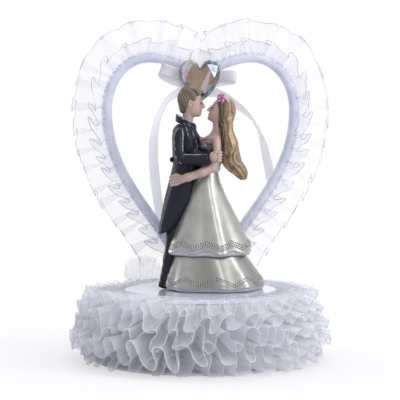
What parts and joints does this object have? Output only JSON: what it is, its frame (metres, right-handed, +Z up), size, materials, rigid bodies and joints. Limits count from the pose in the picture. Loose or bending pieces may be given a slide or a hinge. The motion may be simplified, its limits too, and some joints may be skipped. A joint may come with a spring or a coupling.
{
  "type": "wedding cake topper",
  "caption": "Cake topper: resin bride and groom on a round base with organza ruffles, under a ruffled satin heart arch with a bow and a mirrored heart gem.",
  "frame": {"origin": "centre of the flat underside of the base, on the table", "axes": "+Z up, +X to the right of a viewer who faces the couple, +Y from the front towards the heart arch at the back"},
  "size_m": [0.1482, 0.143, 0.1882],
  "materials": {
    "organza": "sheer gathered organza with a bright edge thread",
    "satin": "white satin ribbon",
    "white_plastic": "glossy white plastic",
    "foam": "white foam",
    "card": "white card",
    "wire": "drawn wire",
    "gem": "mirrored faceted acrylic",
    "skin_paint": "painted resin, satin",
    "brown_hair_paint": "painted resin, satin",
    "golden_hair_paint": "painted resin, satin",
    "black_paint": "painted resin with dry-brushed edges",
    "pearl_paint": "pearl painted resin with raised dots",
    "pink_paint": "painted resin, satin"
  },
  "bodies": {
    "topper": {"base_card": "card", "base_core": "foam", "base_top": "white_plastic", "base_ruffle_1": "organza", "base_ruffle_2": "organza", "base_ruffle_3": "organza", "base_ruffle_4": "organza", "base_ruffle_5": "organza", "heart_wire": "wire", "heart_wrap_left": "satin", "heart_wrap_right": "satin", "heart_ruffle_front_left": "organza", "heart_ruffle_front_right": "organza", "heart_ruffle_back_left": "organza", "heart_ruffle_back_right": "organza", "foot_puff": "organza", "bow_knot": "satin", "bow_loop_left": "satin", "bow_loop_right": "satin", "heart_gem": "gem", "bride_skirt_lower": "pearl_paint", "bride_skirt_upper": "pearl_paint", "bride_bodice": "pearl_paint", "bride_head": "skin_paint", "bride_arm_near": "skin_paint", "bride_arm_far": "skin_paint", "bride_hair": "golden_hair_paint", "bride_flower": "pink_paint", "groom_head": "skin_paint", "groom_hair": "brown_hair_paint", "groom_hand_near": "skin_paint", "groom_hand_far": "skin_paint", "groom_sleeve_near": "black_paint", "groom_sleeve_far": "black_paint", "groom_bow_tie": "black_paint", "groom_coat": "black_paint", "groom_trousers": "black_paint", "groom_shoe_near": "black_paint", "groom_shoe_far": "black_paint"},
    "tail_left": {"ribbon_tail_left": "satin"},
    "tail_right": {"ribbon_tail_right": "satin"}
  },
  "joints": [
    {"name": "tail_left_swing", "type": "hinge", "parent": "topper", "child": "tail_left", "pos_m": [-0.0035, 0.0199, 0.1496], "axis": [1, 0, 0], "range_deg": [0, 20]},
    {"name": "tail_right_swing", "type": "hinge", "parent": "topper", "child": "tail_right", "pos_m": [0.0035, 0.0199, 0.1496], "axis": [1, 0, 0], "range_deg": [0, 20]}
  ]
}
